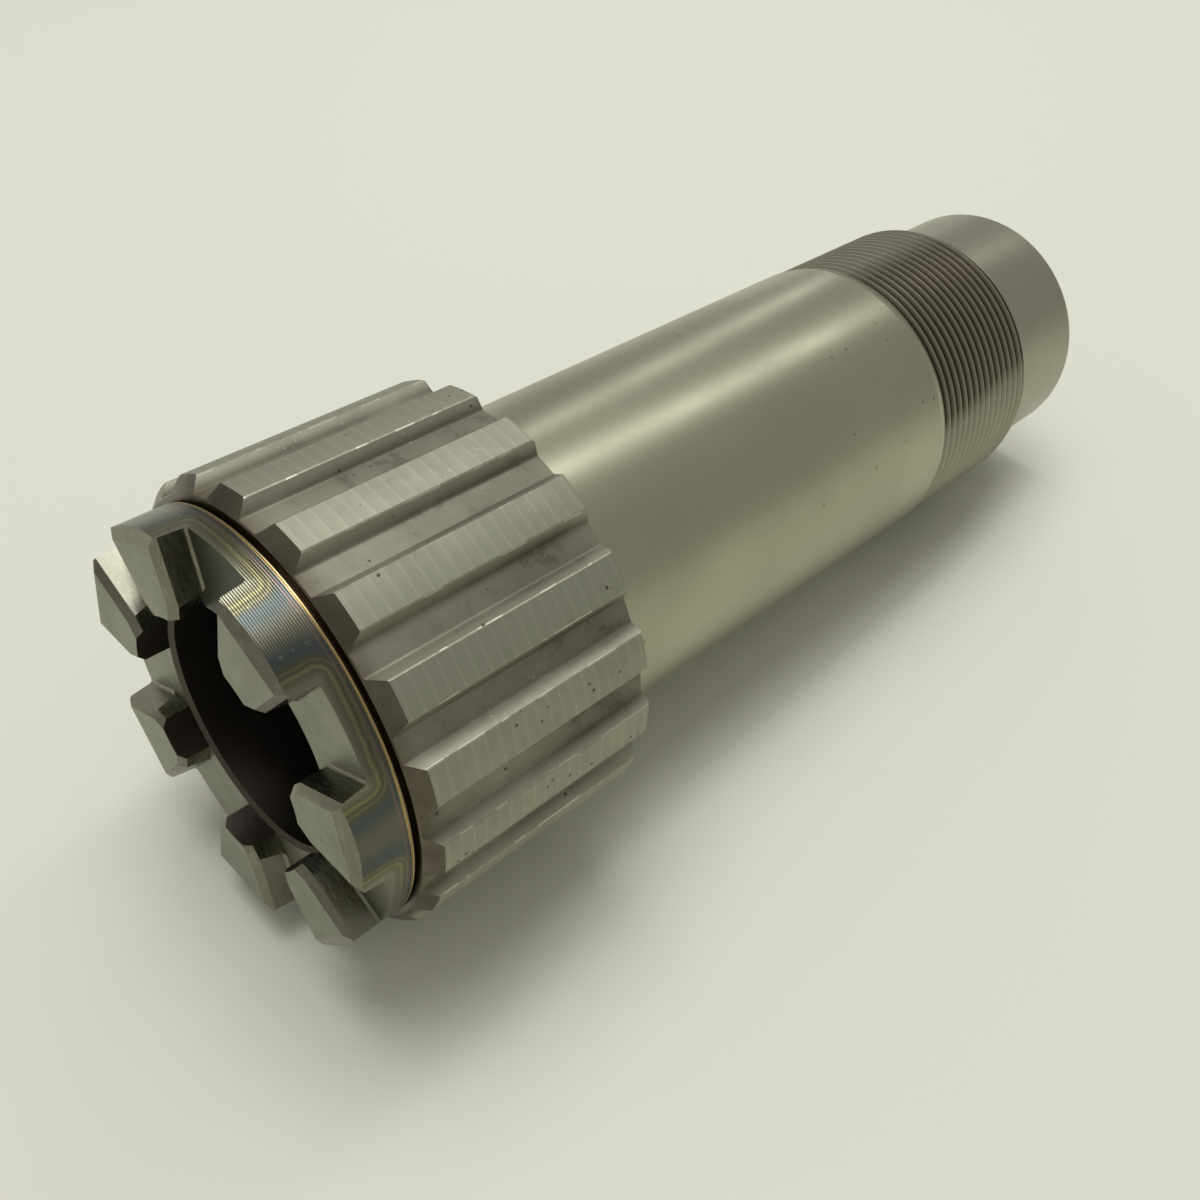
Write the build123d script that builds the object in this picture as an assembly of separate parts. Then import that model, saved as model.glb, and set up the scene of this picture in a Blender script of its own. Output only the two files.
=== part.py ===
from build123d import *
from math import cos, radians, sin, sqrt, tan
import os

# One-piece hollow splined shaft, lengths in mm, angles in degrees.
# X runs along the axis, from the front face of the dogs at x = 0 to the pilot end. Z is up as it lies.
# Angles round the axis start at +Z and grow towards -Y, so a turn by Rot(angle, 0, 0) adds to them.

# Lengths along the axis, front to rear
nose_length = 7.0
neck_width = 0.25
spline_length = 30.95
journal_length = 68.2
thread_length = 22.6
pilot_length = 17.8

# Dog clutch on the front face
dog_count = 7
dog_phase = 180.0
clutch_height = 3.8
dog_half_angle = 13.0
dog_taper = 7.0
dog_flank_bevel = 0.8
dog_rim_inset = 1.55
dog_rim_depth = 0.85
dog_heel_offset = 2.2
dog_heel_angle = 38.5
dog_root_fillet = 0.5

# Spline: straight-sided teeth, with a space facing straight down
tooth_count = 18
spline_radius = 27.5
tooth_height = 1.5
tooth_land = 4.4
tooth_flank_angle = 30.0
tooth_root_fillet = 0.45
tooth_tip_break = 0.12
spline_rear_break = 0.25

# Nose, which passes through a splined hub, and the relief neck behind it
nose_clearance = 0.75
neck_depth = 0.6
edge_break = 0.15

# Ground journal, M42 x 1.5 thread turned to its outside size, and pilot
journal_radius = 21.0
journal_fillet = 1.0
journal_lead = 0.9
thread_step = 0.15
thread_chamfer = 0.6
pilot_radius = 18.75
pilot_fillet = 0.5
pilot_edge_fillet = 1.2

# Through bore
bore_radius = 15.0
bore_front_chamfer = 0.5
bore_rear_chamfer = 0.8

# Stations along the axis that follow from the lengths
spline_front = nose_length + neck_width
spline_rear = spline_front + spline_length
journal_end = spline_rear + journal_length
thread_end = journal_end + thread_length
shaft_end = thread_end + pilot_length

# Radii and angles that follow from the sizes above
root_radius = spline_radius - tooth_height
nose_radius = root_radius - nose_clearance
neck_radius = nose_radius - neck_depth
dog_bore_radius = bore_radius + bore_front_chamfer
dog_heel_radius = bore_radius + dog_heel_offset
thread_radius = journal_radius - thread_step
dog_pitch_angle = 360 / dog_count
tooth_pitch_angle = 360 / tooth_count

# Cutting tools reach this far past what they cut
overrun = 3.0


def turned(points):
    """Solid of revolution about X from (x, radius) points."""
    outline = Polyline([(x, 0, r) for x, r in points], close=True)
    return revolve(make_face(outline), axis=Axis.X)


def ring_edge(solid, x, radius):
    """The circular edge of a solid at a station and radius."""
    return [e for e in solid.edges().filter_by(GeomType.CIRCLE)
            if abs(e.arc_center.X - x) < 1e-4 and abs(e.radius - radius) < 1e-4]


def turned_body():
    """Nose, neck, spline core, journal, thread and pilot as one turned blank."""
    body = turned([
        (0, 0),
        (0, nose_radius),
        (nose_length - edge_break, nose_radius),
        (nose_length, nose_radius - edge_break),
        (nose_length, neck_radius),
        (spline_front, neck_radius),
        (spline_front, root_radius - edge_break),
        (spline_front + edge_break, root_radius),
        (spline_rear, root_radius),
        (spline_rear, journal_radius),
        (journal_end - journal_lead, journal_radius),
        (journal_end, thread_radius),
        (thread_end - thread_chamfer, thread_radius),
        (thread_end, thread_radius - thread_chamfer),
        (thread_end, pilot_radius),
        (shaft_end, pilot_radius),
        (shaft_end, 0),
    ])
    body = fillet(ring_edge(body, spline_rear, journal_radius), journal_fillet)
    body = fillet(ring_edge(body, thread_end, pilot_radius), pilot_fillet)
    return fillet(ring_edge(body, shaft_end, pilot_radius), pilot_edge_fillet)


def spline_section():
    """Cross-section of the spline: straight flanks, filleted roots and broken tips."""
    tip = sqrt(spline_radius ** 2 - (tooth_land / 2) ** 2)
    spread = tan(radians(tooth_flank_angle))
    low = root_radius - overrun
    high = spline_radius + overrun
    low_half = tooth_land / 2 + (tip - low) * spread
    high_half = tooth_land / 2 - (high - tip) * spread
    tooth = make_face(Polyline(
        [(low, -low_half), (high, -high_half), (high, high_half), (low, low_half)], close=True))
    teeth = [Rot(0, 0, (k + 0.5) * tooth_pitch_angle) * tooth for k in range(tooth_count)]
    section = Circle(spline_radius) & (Circle(root_radius) + teeth)
    roots = [v for v in section.vertices() if abs(Vector(v).length - root_radius) < 1e-3]
    section = fillet(roots, tooth_root_fillet)
    tips = [v for v in section.vertices() if abs(Vector(v).length - spline_radius) < 1e-3]
    return chamfer(tips, tooth_tip_break)


def spline():
    """Toothed length, chamfered down to the roots in front, plain at the rear."""
    start = Plane(origin=(spline_front, 0, 0), x_dir=(0, 0, -1), z_dir=(1, 0, 0))
    teeth = extrude(start * spline_section(), spline_rear - spline_front, dir=(1, 0, 0))
    front = turned([
        (spline_front - overrun, root_radius - edge_break - overrun),
        (spline_front + edge_break + tooth_height + overrun, spline_radius + overrun),
        (spline_front - overrun, spline_radius + overrun),
    ])
    rear = turned([
        (spline_rear + overrun, spline_radius - spline_rear_break - overrun),
        (spline_rear + overrun, spline_radius + overrun),
        (spline_rear - spline_rear_break - overrun, spline_radius + overrun),
    ])
    return teeth - front - rear


def bore():
    """Through bore, relieved between the dogs and chamfered at both ends."""
    return turned([
        (0, 0),
        (0, dog_bore_radius),
        (clutch_height, dog_bore_radius),
        (clutch_height + bore_front_chamfer, bore_radius),
        (shaft_end - bore_rear_chamfer, bore_radius),
        (shaft_end, bore_radius + bore_rear_chamfer),
        (shaft_end, 0),
    ])


def in_front(outwards, sideways, depth=0.0):
    """Point or direction at a dog that stands at angle 0, its growing-angle side positive."""
    return Vector(depth, -sideways, outwards)


def dog_gap():
    """Tool for one gap between dogs, at angle 0: flanks that open forwards, flat floor."""
    half = radians(dog_pitch_angle / 2 - dog_half_angle)
    narrowing = (clutch_height - dog_flank_bevel) * tan(radians(dog_taper))
    apex = narrowing / sin(half)
    reach = nose_radius * 2
    spread = (reach - apex) * tan(half)
    floor = make_face(Polyline([
        in_front(apex, 0, clutch_height),
        in_front(reach, spread, clutch_height),
        in_front(reach, -spread, clutch_height),
    ], close=True))
    tool = extrude(floor, clutch_height + overrun, dir=(-1, 0, 0), taper=-dog_taper)
    corners = [e for e in tool.edges().filter_by(GeomType.LINE)
               if abs(e.center().X - clutch_height) < 1e-4 and e.center().Z < reach * 0.9]
    return fillet(corners, dog_root_fillet)


def beyond(point, along, normal):
    """Block that takes away what lies beyond a plane near a point."""
    size = 4 * overrun
    return Plane(origin=point, x_dir=along, z_dir=normal) * Box(
        2 * size, 2 * overrun, size, align=(Align.CENTER, Align.CENTER, Align.MIN))


def flank_bevel():
    """Tool for the 45 degree bevel along one flank of the dog at angle 0."""
    half = radians(dog_half_angle)
    edge = in_front(cos(half), sin(half))
    away = in_front(-sin(half), cos(half))
    return beyond(edge * nose_radius - away * dog_flank_bevel, edge, away - Vector(1, 0, 0))


def heel():
    """Tools for one heel corner of the dog at angle 0 and for its front bevel."""
    half = radians(dog_half_angle)
    slant = radians(dog_heel_angle)
    corner = in_front(cos(half), sin(half)) * dog_heel_radius
    inwards = in_front(-cos(slant), -sin(slant))
    away = in_front(-sin(slant), cos(slant))
    start = corner - inwards * overrun
    end = corner + inwards * 2 * overrun
    floor = make_face(Polyline(
        [start, end, end + away * overrun, start + away * overrun], close=True))
    clearance = extrude(floor, clutch_height, dir=(1, 0, 0))
    return [clearance, beyond(corner - away * dog_flank_bevel, inwards, away - Vector(1, 0, 0))]


def dog_tools():
    """All cutting tools for the dog at angle 0 and the gap that follows it."""
    rim_bevel = beyond(in_front(nose_radius - dog_rim_inset, 0), in_front(0, 1),
                       in_front(dog_rim_depth, 0, -dog_rim_inset))
    side_tools = [flank_bevel(), *heel()]
    mirrored = [mirror(tool, about=Plane.XZ) for tool in side_tools]
    return [Rot(dog_pitch_angle / 2, 0, 0) * dog_gap(), rim_bevel, *side_tools, *mirrored]


shaft = turned_body() + spline() - bore()
for k in range(dog_count):
    for tool in dog_tools():
        shaft -= Rot(dog_phase + k * dog_pitch_angle, 0, 0) * tool

os.makedirs("parts", exist_ok=True)
export_step(shaft, "parts/splined_shaft.step")
print("solids", len(shaft.solids()), "volume", round(shaft.volume, 1), "box", shaft.bounding_box())
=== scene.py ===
from math import cos, hypot, pi, radians, sin

import bmesh
import bpy
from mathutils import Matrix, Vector


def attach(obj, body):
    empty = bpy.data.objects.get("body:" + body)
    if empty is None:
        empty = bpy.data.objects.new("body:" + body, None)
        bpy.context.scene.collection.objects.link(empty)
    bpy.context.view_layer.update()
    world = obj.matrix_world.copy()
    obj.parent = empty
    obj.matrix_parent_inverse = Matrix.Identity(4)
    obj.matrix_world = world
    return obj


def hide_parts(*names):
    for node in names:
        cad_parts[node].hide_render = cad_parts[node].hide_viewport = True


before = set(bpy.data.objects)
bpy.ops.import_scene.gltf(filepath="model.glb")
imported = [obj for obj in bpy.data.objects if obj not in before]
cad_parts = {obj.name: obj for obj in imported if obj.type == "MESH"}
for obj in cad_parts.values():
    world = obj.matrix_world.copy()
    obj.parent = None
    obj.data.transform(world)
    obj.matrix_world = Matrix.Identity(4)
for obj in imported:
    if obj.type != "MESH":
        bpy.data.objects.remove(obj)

print("stage: frame")
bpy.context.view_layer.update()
scene = bpy.context.scene
scene.view_settings.view_transform = "Standard"
mm = 0.001

# stations and radii of the shaft that the finishes and the thread follow, in millimetres and degrees
shaft = {
    "dogDepth": 3.8, "dogCount": 7, "dogPhase": 180.0, "gapHalfAngle": 12.7, "noseRadius": 25.25,
    "splineFront": 7.25, "splineRear": 38.2, "splineRadius": 27.5, "toothCount": 18,
    "journalLead": 105.5, "threadStart": 106.4, "threadEnd": 129.0,
    "threadRadius": 20.85, "boreRadius": 15.0,
}


class Val:
    # a number socket in a node tree that takes part in plain arithmetic
    def __init__(self, tree, socket):
        self.tree = tree
        self.socket = socket

    def math(self, operation, *others, clamp=False):
        node = self.tree.nodes.new("ShaderNodeMath")
        node.operation = operation
        node.use_clamp = clamp
        for slot, value in zip(node.inputs, (self, *others)):
            if isinstance(value, Val):
                self.tree.links.new(value.socket, slot)
            else:
                slot.default_value = value
        return Val(self.tree, node.outputs[0])

    def __rsub__(self, number):
        node = self.tree.nodes.new("ShaderNodeMath")
        node.operation = "SUBTRACT"
        node.inputs[0].default_value = number
        self.tree.links.new(self.socket, node.inputs[1])
        return Val(self.tree, node.outputs[0])

    def __add__(self, other): return self.math("ADD", other)
    def __sub__(self, other): return self.math("SUBTRACT", other)
    def __mul__(self, other): return self.math("MULTIPLY", other)
    def __truediv__(self, other): return self.math("DIVIDE", other)
    def __gt__(self, other): return self.math("GREATER_THAN", other)
    def __lt__(self, other): return self.math("LESS_THAN", other)

    def clamp(self): return self.math("ADD", 0.0, clamp=True)
    def abs(self): return self.math("ABSOLUTE")
    def fract(self): return self.math("FRACT")
    def sine(self): return self.math("SINE")
    def power(self, value): return self.math("POWER", value)

    def ramp(self, low, high):
        # 0 below low, 1 above high
        return ((self - low) / (high - low)).clamp()

    def band(self, centre, width):
        # 1 on the centre, falling to 0 at the width
        return (1.0 - (self - centre).abs() / width).clamp()


def feed(tree, slot, value):
    # a Val or a socket is linked to the slot, anything else becomes the slot's own value
    if isinstance(value, Val):
        tree.links.new(value.socket, slot)
    elif isinstance(value, bpy.types.NodeSocket):
        tree.links.new(value, slot)
    else:
        slot.default_value = value


def addNode(tree, kind, settings=None, inputs=None):
    node = tree.nodes.new(kind)
    for name, value in (settings or {}).items():
        setattr(node, name, value)
    for name, value in (inputs or {}).items():
        feed(tree, node.inputs[name], value)
    return node


# linear colours of the steel, by the finish that uses them
colours = {
    "worn": (0.56, 0.55, 0.45), "dirt": (0.07, 0.065, 0.045), "rust": (0.22, 0.12, 0.06),
    "ground": (0.42, 0.415, 0.305), "groundStain": (0.34, 0.335, 0.25),
    "turnedLight": (0.40, 0.395, 0.31), "turnedDark": (0.32, 0.315, 0.24),
    "toothLight": (0.37, 0.368, 0.29), "toothDark": (0.26, 0.258, 0.20),
    "toothDirtAndShade": (0.13, 0.12, 0.085), "toothStain": (0.14, 0.10, 0.06),
    "chamferLight": (0.16, 0.14, 0.105), "chamferDark": (0.09, 0.075, 0.055),
    "noseGap": (0.20, 0.195, 0.14), "noseBrown": (0.10, 0.095, 0.06),
    "noseStraw": (0.26, 0.24, 0.12), "noseOlive": (0.20, 0.19, 0.11),
    "noseBlue": (0.075, 0.088, 0.085), "noseGrey": (0.12, 0.115, 0.085),
    "nosePurple": (0.20, 0.13, 0.13), "noseGoldAndHighlight": (0.62, 0.42, 0.16),
    "noseNeckShade": (0.12, 0.07, 0.04), "noseScuff": (0.35, 0.33, 0.26),
    "dogLight": (0.30, 0.30, 0.235), "dogDark": (0.22, 0.22, 0.17),
    "dogPatch": (0.16, 0.155, 0.115), "dogGapShade": (0.05, 0.055, 0.045),
    "milledLight": (0.25, 0.245, 0.19), "milledDark": (0.15, 0.145, 0.11),
    "milledStroke": (0.33, 0.32, 0.26),
    "boreLight": (0.13, 0.10, 0.075), "boreDark": (0.07, 0.06, 0.05),
    "boreMouth": (0.10, 0.085, 0.07),
    "threadLight": (0.36, 0.355, 0.28), "threadDark": (0.30, 0.29, 0.22),
    "oilShadeLight": (0.10, 0.07, 0.045), "oilShadeDark": (0.07, 0.06, 0.04),
    "shadedOilyCrest": (0.27, 0.25, 0.19),
}

# how far the shaft moves between two tool marks, in millimetres
feeds = {"hob": 1.65, "nose": 0.28, "chamfer": 0.19}


class Finish:
    # one material, its shader, and the coordinates that its patterns read:
    # millimetres, and the angle in radians from +Z towards -Y
    def __init__(self, name):
        self.material = bpy.data.materials.new(name)
        self.material.use_nodes = True
        self.tree = self.material.node_tree
        self.shader = self.tree.nodes["Principled BSDF"]
        coords = self.add("ShaderNodeTexCoord")
        self.position = coords.outputs["Object"]
        parts = self.add("ShaderNodeSeparateXYZ", inputs={"Vector": self.position})
        self.x, self.y, self.z = [
            Val(self.tree, parts.outputs[i]) * (1 / mm) for i in range(3)]
        self.radius = (self.y * self.y + self.z * self.z).math("SQRT")
        self.angle = (self.y * -1.0).math("ARCTAN2", self.z)

    def add(self, kind, settings=None, inputs=None):
        return addNode(self.tree, kind, settings, inputs)

    def set(self, **sockets):
        for name, value in sockets.items():
            feed(self.tree, self.shader.inputs[name.replace("_", " ")], value)

    def noise(self, scale, detail=2.0, rough=0.5, stretch=(1.0, 1.0, 1.0), seed=0.0):
        moved = self.add("ShaderNodeMapping", inputs={
            "Vector": self.position, "Scale": stretch, "Location": (seed, seed * 0.7, -seed)})
        node = self.add("ShaderNodeTexNoise", inputs={
            "Vector": moved.outputs[0], "Scale": scale, "Detail": detail, "Roughness": rough})
        return Val(self.tree, node.outputs["Fac"])

    def lines(self, value, scale, detail=2.0, seed=0.0):
        # one-dimensional noise of a value, for tool marks that follow it
        spot = self.add("ShaderNodeCombineXYZ", inputs={"X": value, "Y": seed, "Z": seed * 0.3})
        node = self.add("ShaderNodeTexNoise", inputs={
            "Vector": spot.outputs[0], "Scale": scale, "Detail": detail, "Roughness": 0.6})
        return Val(self.tree, node.outputs["Fac"])

    def spots(self, scale, size, seed=0.0):
        # scattered round spots, 1 inside and 0 outside
        moved = self.add("ShaderNodeMapping", inputs={
            "Vector": self.position, "Location": (seed, -seed, seed * 0.5)})
        node = self.add("ShaderNodeTexVoronoi", settings={"feature": "F1"}, inputs={
            "Vector": moved.outputs[0], "Scale": scale})
        return 1.0 - Val(self.tree, node.outputs["Distance"]).ramp(size * 0.6, size)

    def mix(self, mask, low, high):
        # low and high are names of colours, or what an earlier mix gave
        node = self.add("ShaderNodeMix", settings={"data_type": "RGBA"})
        feed(self.tree, node.inputs[0], mask)
        for slot, colour in ((node.inputs[6], low), (node.inputs[7], high)):
            named = isinstance(colour, str)
            feed(self.tree, slot, (*colours[colour], 1.0) if named else colour)
        return node.outputs[2]

    def bump(self, height, depth):
        # a normal tilted by a height pattern, of which one unit stands for depth in millimetres
        node = self.add("ShaderNodeBump", inputs={
            "Strength": 1.0, "Distance": depth * mm, "Height": height})
        return node.outputs["Normal"]


def groundSteel():
    # journal: ground all round, with light stains and a few rust specks
    f = Finish("groundSteel")
    cloud = f.noise(60.0, detail=3.0)
    grind = f.lines(f.x, 7.0, detail=3.0)
    specks = f.spots(300.0, 0.10, seed=3.0) * (f.noise(40.0, seed=2.0) > 0.55)
    colour = f.mix((cloud * 1.6 - 0.4).clamp(), "ground", "groundStain")
    colour = f.mix(specks * 0.7, colour, "rust")
    f.set(Base_Color=colour, Metallic=1.0, Roughness=grind * 0.12 + cloud * 0.14 + 0.20,
          Normal=f.bump(grind + f.noise(700.0) * 0.5, 0.004))
    return f.material


def turnedSteel():
    # pilot and end faces: fine turning
    f = Finish("turnedSteel")
    cloud = f.noise(90.0, detail=3.0)
    marks = f.lines(f.x + f.radius, 9.0, seed=5.0)
    f.set(Base_Color=f.mix(cloud, "turnedLight", "turnedDark"), Metallic=1.0,
          Roughness=marks * 0.14 + cloud * 0.1 + 0.22, Normal=f.bump(marks, 0.005))
    return f.material


def toothAngle(f):
    # angle from the middle of the nearest tooth, in degrees
    pitch = 360.0 / shaft["toothCount"]
    turn = f.angle * (180 / pi / pitch)
    return (turn.fract() - 0.5) * pitch


def splineSteel():
    # teeth: satin lands with hob feed marks, flanks and roots darkened by dirt and painted shade,
    # bright worn corners
    f = Finish("splineSteel")
    tip, front = shaft["splineRadius"], shaft["splineFront"]
    across = toothAngle(f)
    wander = f.noise(45.0) * 0.5 + f.noise(400.0, detail=1.0, seed=3.0) * 0.12
    stroke = (f.x / feeds["hob"] + wander).fract() - 0.5
    scallop = stroke * stroke * 4.0
    mottle = f.noise(220.0, detail=4.0, rough=0.65)
    cloud = f.noise(50.0, detail=3.0, seed=6.0)
    land = f.radius.ramp(tip - 0.3, tip - 0.1)
    low = 1.0 - f.radius.ramp(tip - 1.6, tip - 0.2)
    corner = across.abs().band(4.65, 0.35) * land
    foot = across.abs().band(6.4, 1.1)
    colour = f.mix(mottle * 0.7, "toothLight", "toothDark")
    colour = f.mix(scallop.power(3.0) * land * 0.2, colour, "worn")
    # painted shade with dirt: the roots and the feet of the flanks are darkened
    dirt = (low * 0.75 + mottle.ramp(0.55, 0.75) * low + foot * 0.55) * cloud.ramp(0.25, 0.6)
    colour = f.mix(dirt.clamp() * 0.75, colour, "toothDirtAndShade")
    pits = f.spots(560.0, 0.15, seed=7.0) * (f.noise(170.0, detail=3.0, seed=4.0) > 0.57)
    specks = f.spots(900.0, 0.16, seed=2.0) * (f.noise(120.0, detail=3.0, seed=8.0) > 0.60)
    colour = f.mix(pits * 0.85, colour, "dirt")
    rubbed = f.noise(260.0, detail=3.0, seed=5.0) > 0.53
    sparks = (specks * 0.3 + corner * rubbed).clamp()
    colour = f.mix(sparks * 0.8, colour, "worn")
    stain = (1.0 - f.x.ramp(front + 0.15, front + 2.35)) * low
    colour = f.mix(stain * 0.6, colour, "toothStain")
    height = scallop * land * 0.5 + mottle * 0.5 - pits * 0.8
    f.set(Base_Color=colour, Metallic=1.0,
          Roughness=mottle * 0.2 + 0.48 + low * 0.08 - sparks * 0.2,
          Normal=f.bump(height, 0.022))
    return f.material


def chamferSteel():
    # front chamfers of the teeth: turned, stained brown
    f = Finish("chamferSteel")
    cloud = f.noise(140.0, detail=3.0, seed=1.0)
    marks = (f.x * (2 * pi / feeds["chamfer"])).sine()
    f.set(Base_Color=f.mix(cloud.ramp(0.35, 0.65), "chamferLight", "chamferDark"),
          Metallic=1.0, Roughness=cloud * 0.1 + 0.24, Normal=f.bump(marks, 0.010))
    return f.material


def noseSteel():
    # nose: turned ring with heat tints that follow the gaps between the dogs, painted shade in the
    # neck groove behind it, and a gold tint on its rear edge painted bright as a highlight
    f = Finish("noseSteel")
    marks = ((f.x + f.radius * 0.3) * (2 * pi / feeds["nose"])).sine()
    pitch = 360.0 / shaft["dogCount"]
    turn = (f.angle * (180 / pi) - (shaft["dogPhase"] + pitch / 2)) / pitch
    fromGap = ((turn + 0.5).fract() - 0.5).abs() * pitch
    beyondGap = (fromGap - shaft["gapHalfAngle"]).math("MAXIMUM", 0.0)
    aside = beyondGap * radians(shaft["noseRadius"])
    behind = (f.x - shaft["dogDepth"]).math("MAXIMUM", 0.0)
    wander = (f.noise(110.0, detail=3.0) - 0.5) * 1.6
    # millimetres from the edge of the nearest gap
    reach = (aside * aside + behind * behind).math("SQRT") + wander
    colour = f.mix(reach.ramp(0.1, 1.2), "noseGap", "noseBrown")
    colour = f.mix(reach.band(1.25, 0.35) * 0.7, colour, "noseStraw")
    colour = f.mix(reach.band(1.95, 0.25) * 0.5, colour, "noseOlive")
    colour = f.mix(reach.ramp(2.0, 2.9), colour, "noseBlue")
    colour = f.mix(reach.ramp(3.6, 5.2), colour, "noseGrey")
    rear = f.x + wander * 0.25
    colour = f.mix(rear.band(5.95, 0.22) * 0.6, colour, "nosePurple")
    # gold heat tint on the rear edge of the nose, painted bright as the highlight of that rounded
    # edge
    colour = f.mix(rear.band(6.62, 0.20), colour, "noseGoldAndHighlight")
    # painted shade: the neck groove behind the nose is dark brown
    colour = f.mix(rear.ramp(6.75, 6.95), colour, "noseNeckShade")
    scuffs = f.noise(330.0, detail=4.0, seed=5.0) > 0.66
    scuffs = scuffs * f.noise(60.0, seed=9.0).ramp(0.45, 0.6)
    colour = f.mix(scuffs * 0.5, colour, "noseScuff")
    f.set(Base_Color=colour, Metallic=1.0, Roughness=f.noise(90.0) * 0.1 + 0.20,
          Normal=f.bump(marks, 0.010))
    return f.material


def dogSteel():
    # front faces of the dogs and floors of the gaps: satin
    f = Finish("dogSteel")
    cloud = f.noise(300.0, detail=4.0, rough=0.6)
    patch = f.noise(80.0, detail=3.0, seed=3.0)
    pits = f.spots(700.0, 0.18, seed=7.0) * (f.noise(260.0, detail=3.0, seed=4.0) > 0.58)
    colour = f.mix(cloud, "dogLight", "dogDark")
    colour = f.mix(patch.ramp(0.5, 0.75) * 0.5, colour, "dogPatch")
    # painted shade: the floor of the gap that faces up is darkened
    gapShade = f.angle.band(0.0, 0.42).ramp(0.0, 0.5) * f.x.ramp(3.0, 3.7)
    colour = f.mix(gapShade * 0.8, colour, "dogGapShade")
    colour = f.mix(pits * 0.7, colour, "dirt")
    f.set(Base_Color=colour, Metallic=1.0, Roughness=cloud * 0.15 + 0.36,
          Normal=f.bump(cloud - pits, 0.006))
    return f.material


def milledSteel():
    # flanks and bevels of the dogs: milled towards the axis, with strokes along the cutter's way
    f = Finish("milledSteel")
    cloud = f.noise(150.0, detail=3.0)
    strokes = f.noise(1.0, detail=3.0, rough=0.6, stretch=(3000.0, 500.0, 500.0))
    colour = f.mix(cloud, "milledLight", "milledDark")
    colour = f.mix(strokes.ramp(0.5, 0.8) * 0.6, colour, "milledStroke")
    f.set(Base_Color=colour, Metallic=1.0, Roughness=strokes * 0.2 + 0.18,
          Normal=f.bump(strokes, 0.010))
    return f.material


def boreSteel():
    # bore: drilled, and coloured dark all through
    f = Finish("boreSteel")
    cloud = f.noise(80.0, detail=3.0)
    deep = f.x.ramp(3.0, 30.0)
    colour = f.mix(cloud, "boreLight", "boreDark")
    colour = f.mix(deep, "boreMouth", colour)
    f.set(Base_Color=colour, Metallic=1.0, Roughness=cloud * 0.2 + 0.3,
          Normal=f.bump(f.lines(f.x, 4.0, detail=3.0), 0.01))
    return f.material


def threadSteel():
    # thread: clean all round, but over part of the near side painted darker, brown in the grooves:
    # oil with painted shade and a painted dark reflection
    f = Finish("threadSteel")
    cloud = f.noise(90.0, detail=3.0)
    crest = f.radius.ramp(shaft["threadRadius"] - 0.55, shaft["threadRadius"] - 0.05)
    # painted shade and dark reflection with oil: the side from the top round towards the camera and
    # below
    oilAndShade = f.angle.ramp(-0.14, 0.05) * (1.0 - (f.angle + f.x * 0.006).ramp(1.88, 2.00))
    clean = f.mix(cloud, "threadLight", "threadDark")
    oilyShaded = f.mix(crest, f.mix(cloud, "oilShadeLight", "oilShadeDark"), "shadedOilyCrest")
    colour = f.mix(oilAndShade, clean, oilyShaded)
    f.set(Base_Color=colour, Metallic=1.0, Roughness=0.40 - crest * 0.08 + cloud * 0.1)
    return f.material


finishes = [make() for make in (
    groundSteel, turnedSteel, splineSteel, chamferSteel, noseSteel, dogSteel, milledSteel,
    boreSteel)]
onJournal, onTurned, onSpline, onChamfer, onNose, onDogFace, onFlank, onBore = range(8)
threadFinish = threadSteel()
print("stage: finishes")


# values for the shaft's own surface, in millimetres and degrees
body = {
    "coreRadius": 19.6, "cutRadius": 24.0, "cutSteps": 160, "mergeDistance": 0.001,
    "edgeAngle": 26.0, "slack": 0.01, "normalWeight": 100,
}


def finishOf(centre, normal):
    # which finish a face of the shaft takes, from where it lies and how it faces
    x = centre.x / mm
    r = hypot(centre.y, centre.z) / mm
    outward = (normal.y * centre.y + normal.z * centre.z) / max(hypot(centre.y, centre.z), 1e-9)
    if outward < -0.5 and r < shaft["boreRadius"] + 1.0:
        return onBore
    if normal.x > 0.9:
        return onTurned
    if x < shaft["dogDepth"] + 2 * body["slack"]:
        if normal.x < -0.95:
            return onDogFace
        return onNose if outward > 0.97 else onFlank
    if x < shaft["splineFront"] - body["slack"]:
        return onNose
    if x < shaft["splineRear"] + body["slack"] and r > shaft["noseRadius"] - 1.0:
        return onChamfer if normal.x < -0.5 else onSpline
    if x < shaft["threadStart"] and r > shaft["boreRadius"] + 2.0:
        return onJournal
    return onTurned


def ringTool(start, end, inner, outer, steps):
    # closed ring used to cut the core of the thread free
    mesh = bmesh.new()
    rim = [(cos(2 * pi * k / steps), sin(2 * pi * k / steps)) for k in range(steps)]
    loops = []
    for x, r in ((start, inner), (end, inner), (end, outer), (start, outer)):
        loops.append([mesh.verts.new((x * mm, r * mm * y, r * mm * z)) for y, z in rim])
    for a, b in zip(loops, loops[1:] + loops[:1]):
        for k in range(steps):
            mesh.faces.new((a[k], a[(k + 1) % steps], b[(k + 1) % steps], b[k]))
    bmesh.ops.recalc_face_normals(mesh, faces=mesh.faces)
    data = bpy.data.meshes.new("ringTool")
    mesh.to_mesh(data)
    mesh.free()
    tool = bpy.data.objects.new("ringTool", data)
    scene.collection.objects.link(tool)
    return tool


def evaluated(obj, name):
    # the object with its modifiers applied, as a plain mesh object at the origin
    graph = bpy.context.evaluated_depsgraph_get()
    data = bpy.data.meshes.new_from_object(obj.evaluated_get(graph))
    result = bpy.data.objects.new(name, data)
    scene.collection.objects.link(result)
    return result


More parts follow.
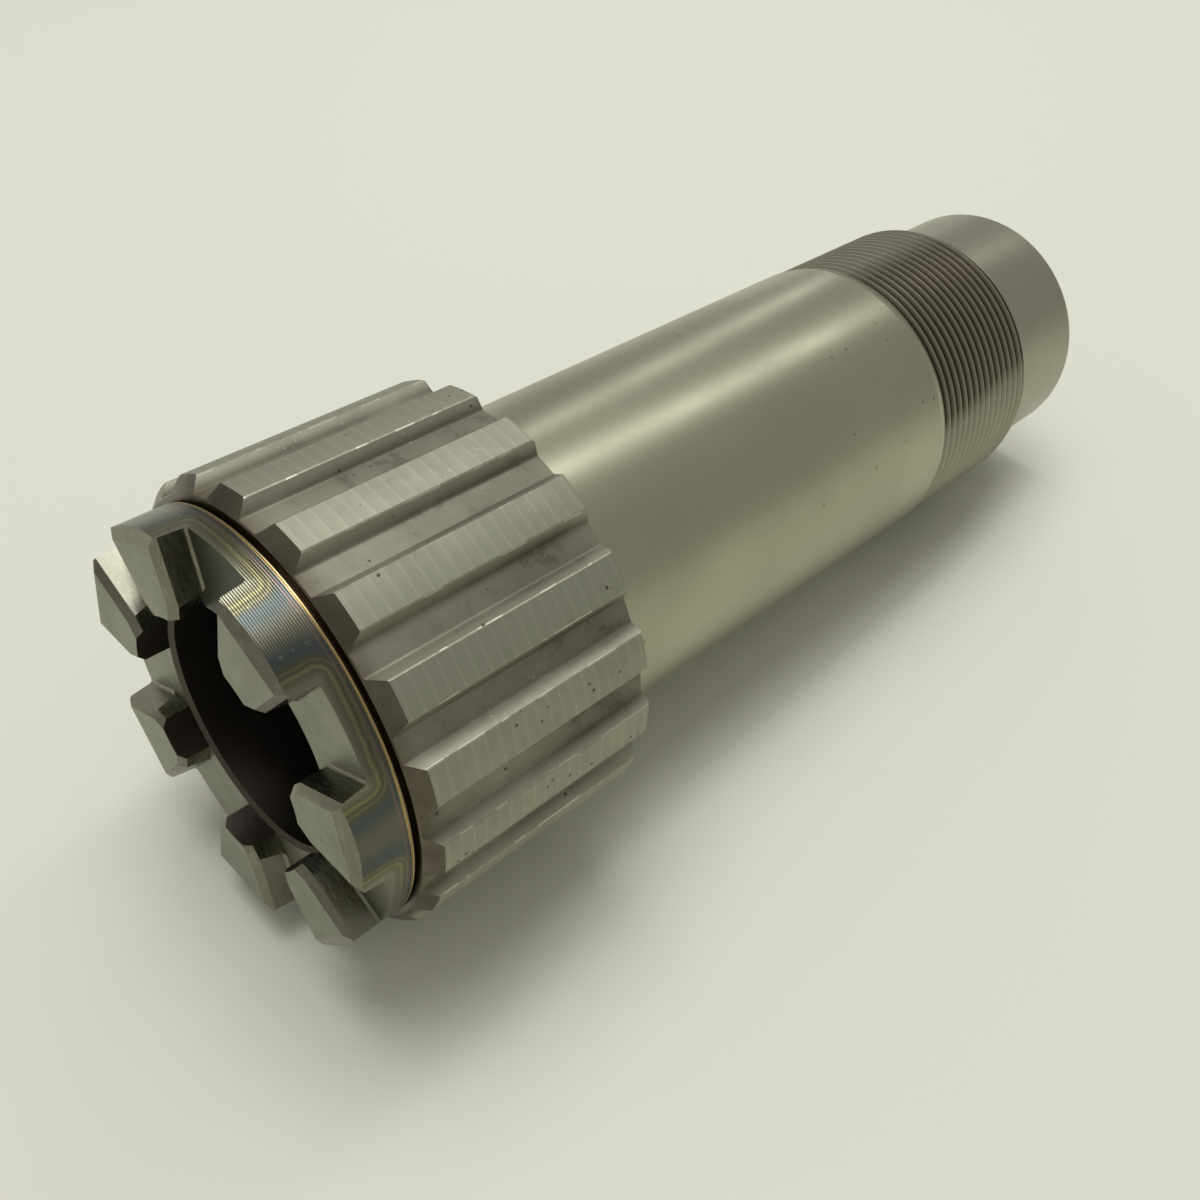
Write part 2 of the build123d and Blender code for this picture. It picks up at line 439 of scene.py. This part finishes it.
def buildBody():
    # the CAD mesh with the thread's blank cut down to a core, and a finish on every face
    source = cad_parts["splined_shaft"]
    raw = bpy.data.objects.new("shaftRaw", source.data.copy())
    scene.collection.objects.link(raw)
    mesh = bmesh.new()
    mesh.from_mesh(raw.data)
    bmesh.ops.remove_doubles(mesh, verts=mesh.verts, dist=body["mergeDistance"] * mm)
    mesh.to_mesh(raw.data)
    mesh.free()
    tool = ringTool(shaft["threadStart"], shaft["threadEnd"], body["coreRadius"],
                    body["cutRadius"], body["cutSteps"])
    cut = raw.modifiers.new("threadCore", "BOOLEAN")
    cut.operation = "DIFFERENCE"
    cut.solver = "EXACT"
    cut.object = tool
    bpy.context.view_layer.update()
    result = evaluated(raw, "shaftBody")
    for used in (raw, tool):
        bpy.data.objects.remove(used)

    mesh = bmesh.new()
    mesh.from_mesh(result.data)
    bmesh.ops.remove_doubles(mesh, verts=mesh.verts, dist=body["mergeDistance"] * mm)
    mesh.normal_update()
    result.data.materials.clear()
    for finish in finishes:
        result.data.materials.append(finish)
    for face in mesh.faces:
        face.smooth = True
        face.material_index = finishOf(face.calc_center_median(), face.normal)
    for edge in mesh.edges:
        # the line where the journal's lead starts stays sharp
        atLead = all(
            abs(v.co.x / mm - shaft["journalLead"]) < 2 * body["slack"] for v in edge.verts)
        edge.smooth = not atLead and edge.calc_face_angle(0.0) < radians(body["edgeAngle"])
    mesh.to_mesh(result.data)
    mesh.free()
    weighted = result.modifiers.new("normals", "WEIGHTED_NORMAL")
    weighted.keep_sharp = True
    weighted.weight = body["normalWeight"]
    final = evaluated(result, "shaftSkin")
    bpy.data.objects.remove(result)
    return final


shaftSkin = buildBody()
print("stage: body", len(shaftSkin.data.polygons), "faces")


# the thread: a ring whose outside follows a left-hand helix, in millimetres, with its crests and
# roots as shares of half a pitch
thread = {
    "start": shaft["threadStart"], "length": shaft["threadEnd"] - shaft["threadStart"],
    "pitch": 1.5, "outerRadius": shaft["threadRadius"], "depth": 0.82, "crestShare": 0.16,
    "rootShare": 0.26, "endChamfer": 0.6, "innerRadius": 18.9,
}
# the grid that is rolled up into the ring, its merge distance in metres, its edge angle in degrees
threadGrid = {"columns": 144, "stepsPerTurn": 16, "mergeDistance": 1e-6, "edgeAngle": 25.0}


class Tree:
    # a geometry tree with named inputs and the same arithmetic as the finishes
    def __init__(self, name, inputs):
        self.tree = bpy.data.node_groups.new(name, "GeometryNodeTree")
        self.tree.interface.new_socket("Geometry", in_out="OUTPUT", socket_type="NodeSocketGeometry")
        for label, value in inputs.items():
            kind = "NodeSocketInt" if isinstance(value, int) else "NodeSocketFloat"
            socket = self.tree.interface.new_socket(label, in_out="INPUT", socket_type=kind)
            socket.default_value = value
        self.source = self.tree.nodes.new("NodeGroupInput")
        self.sink = self.tree.nodes.new("NodeGroupOutput")

    def value(self, label):
        return Val(self.tree, self.source.outputs[label])

    def add(self, kind, inputs=None):
        return addNode(self.tree, kind, inputs=inputs)


def threadTree(values):
    t = Tree("threadRing", values)
    columns, rows = t.value("Columns"), t.value("Rows")
    grid = t.add("GeometryNodeMeshGrid", inputs={
        "Vertices X": columns + 1.0, "Vertices Y": rows})
    index = Val(t.tree, t.add("GeometryNodeInputIndex").outputs[0])
    # the small term keeps a whole quotient from being rounded down
    column = (index / rows + 1e-4).math("FLOOR")
    row = index - column * rows
    turn = column / columns
    pitch, length = t.value("Pitch"), t.value("Length")
    # a column begins one to two turns before the start and is clamped to the length; the station
    # falls as the turn from +Y to +Z grows, which makes the helix left-handed
    along = ((row - 1.0) / t.value("Steps per turn") - turn - 1.0) * pitch
    along = along.math("MAXIMUM", 0.0).math("MINIMUM", length)
    phase = (along / pitch + turn + 1.0).fract()
    away = (phase - 0.5).abs() * 2.0
    crest, root = t.value("Crest share"), t.value("Root share")
    sink = ((away - crest) / (1.0 - crest - root)).clamp()
    outer = t.value("Outer radius") - sink * t.value("Depth")
    limit = t.value("Outer radius") - (along - length + t.value("End chamfer")).math("MAXIMUM", 0.0)
    outer = outer.math("MINIMUM", limit)
    # the first row and the last two lie on the inside of the ring, the last but one at its end
    inside = (row < 0.5) + (row > rows - 2.5)
    atEnd = (row > rows - 2.5) * (row < rows - 1.5)
    radius = outer + (t.value("Inner radius") - outer) * inside
    station = (along * (1.0 - inside) + length * atEnd) + t.value("Start")
    angle = turn * (2 * pi)
    place = t.add("ShaderNodeCombineXYZ", inputs={
        "X": station * mm, "Y": angle.math("COSINE") * radius * mm,
        "Z": angle.math("SINE") * radius * mm})
    moved = t.add("GeometryNodeSetPosition", inputs={
        "Geometry": grid.outputs["Mesh"], "Position": place.outputs[0]})
    merged = t.add("GeometryNodeMergeByDistance", inputs={
        "Geometry": moved.outputs[0], "Distance": threadGrid["mergeDistance"]})
    whole = t.add("GeometryNodeRealizeInstances", inputs={"Geometry": merged.outputs[0]})
    coated = t.add("GeometryNodeSetMaterial", inputs={
        "Geometry": whole.outputs[0], "Material": threadFinish})
    t.tree.links.new(coated.outputs[0], t.sink.inputs[0])
    return t.tree


def setInputs(modifier, values):
    # by identifier, because names are not keys of a modifier
    known = {s.name: s.identifier for s in modifier.node_group.interface.items_tree
             if s.in_out == "INPUT"}
    for label, value in values.items():
        modifier[known[label]] = value


def buildThread():
    turns = thread["length"] / thread["pitch"]
    # two turns over the length, one row to close the steps and three for the inside
    rows = int(round((turns + 2) * threadGrid["stepsPerTurn"])) + 4
    values = {
        "Columns": threadGrid["columns"], "Rows": rows, "Steps per turn": threadGrid["stepsPerTurn"],
        "Start": thread["start"], "Length": thread["length"], "Pitch": thread["pitch"],
        "Outer radius": thread["outerRadius"], "Depth": thread["depth"],
        "Crest share": thread["crestShare"], "Root share": thread["rootShare"],
        "End chamfer": thread["endChamfer"], "Inner radius": thread["innerRadius"]}
    holder = bpy.data.objects.new("threadSeed", bpy.data.meshes.new("threadSeed"))
    scene.collection.objects.link(holder)
    modifier = holder.modifiers.new("thread", "NODES")
    modifier.node_group = threadTree(values)
    setInputs(modifier, values)
    bpy.context.view_layer.update()
    result = evaluated(holder, "locknutThread")
    bpy.data.objects.remove(holder)
    mesh = bmesh.new()
    mesh.from_mesh(result.data)
    bmesh.ops.remove_doubles(mesh, verts=mesh.verts, dist=threadGrid["mergeDistance"])
    bmesh.ops.dissolve_degenerate(mesh, edges=mesh.edges, dist=threadGrid["mergeDistance"])
    bmesh.ops.recalc_face_normals(mesh, faces=mesh.faces)
    for face in mesh.faces:
        face.smooth = True
    for edge in mesh.edges:
        edge.smooth = edge.calc_face_angle(0.0) < radians(threadGrid["edgeAngle"])
    print("open edges in the thread:", sum(1 for e in mesh.edges if not e.is_manifold))
    mesh.to_mesh(result.data)
    mesh.free()
    return result


locknutThread = buildThread()
print("stage: thread", len(locknutThread.data.polygons), "faces")

for piece in (shaftSkin, locknutThread):
    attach(piece, "root")
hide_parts("splined_shaft")


# the table slopes with the shaft, which touches it at frontContact: x and z in millimetres
table = {
    "colour": (0.76, 0.76, 0.66), "roughness": 0.6, "size": 3.0, "slope": 4.2,
    "frontContact": (38.2, -27.37),
}
# centre, and length and width, in metres; the heading of the length in degrees, or the point faced
lamps = [
    {"name": "stripNear", "centre": (0.48, 0.11, 0.80), "size": (1.2, 0.13), "watts": 1.4,
     "heading": 0.0},
    {"name": "stripFar", "centre": (1.63, 1.31, 0.80), "size": (2.2, 0.20), "watts": 2.3,
     "heading": 31.0},
    {"name": "softKey", "centre": (0.0, 0.22, 1.30), "size": (0.8, 0.8), "watts": 8.5,
     "target": (0.06, 0.0, 0.0)},
]
roomLight = (0.40, 0.40, 0.37)
# place, lens and sensor in millimetres, turn in degrees, nearest visible distance in metres
camera = {
    "place": (-37.688, -86.333, 102.356), "turn": (48.148, -4.077, -44.536), "lens": 37.27,
    "sensor": 36.0, "nearest": 0.005,
}


def buildTable():
    mesh = bpy.data.meshes.new("table")
    half = table["size"] / 2
    mesh.from_pydata([(-half, -half, 0), (half, -half, 0), (half, half, 0), (-half, half, 0)], [],
                     [(0, 1, 2, 3)])
    top = bpy.data.objects.new("table", mesh)
    scene.collection.objects.link(top)
    x, z = table["frontContact"]
    top.location = (x * mm, 0, z * mm)
    top.rotation_euler = (0, radians(-table["slope"]), 0)
    f = Finish("tableTop")
    f.set(Base_Color=(*table["colour"], 1.0), Roughness=table["roughness"])
    mesh.materials.append(f.material)


def buildLamps():
    for spec in lamps:
        data = bpy.data.lights.new(spec["name"], "AREA")
        data.shape = "RECTANGLE"
        data.size, data.size_y = spec["size"]
        data.energy = spec["watts"]
        lamp = bpy.data.objects.new(spec["name"], data)
        lamp.location = spec["centre"]
        if "target" in spec:
            away = Vector(spec["centre"]) - Vector(spec["target"])
            lamp.rotation_euler = away.to_track_quat("Z", "Y").to_euler()
        else:
            lamp.rotation_euler = (0, 0, radians(spec["heading"]))
        scene.collection.objects.link(lamp)


def buildWorld():
    # the room lights the shaft, while the camera sees the table's colour behind it
    world = bpy.data.worlds.new("room")
    world.use_nodes = True
    scene.world = world
    tree = world.node_tree
    room = tree.nodes["Background"]
    room.inputs["Color"].default_value = (*roomLight, 1.0)
    backdrop = tree.nodes.new("ShaderNodeBackground")
    backdrop.inputs["Color"].default_value = (*table["colour"], 1.0)
    ray = tree.nodes.new("ShaderNodeLightPath")
    mix = tree.nodes.new("ShaderNodeMixShader")
    tree.links.new(ray.outputs["Is Camera Ray"], mix.inputs[0])
    tree.links.new(room.outputs[0], mix.inputs[1])
    tree.links.new(backdrop.outputs[0], mix.inputs[2])
    tree.links.new(mix.outputs[0], tree.nodes["World Output"].inputs["Surface"])


def buildCamera():
    data = bpy.data.cameras.new("camera")
    data.lens = camera["lens"]
    data.sensor_width = camera["sensor"]
    data.clip_start = camera["nearest"]
    seat = bpy.data.objects.new("camera", data)
    seat.location = [value * mm for value in camera["place"]]
    seat.rotation_euler = [radians(value) for value in camera["turn"]]
    scene.collection.objects.link(seat)
    scene.camera = seat


buildTable()
buildLamps()
buildWorld()
buildCamera()
print("stage: stage and lamps")
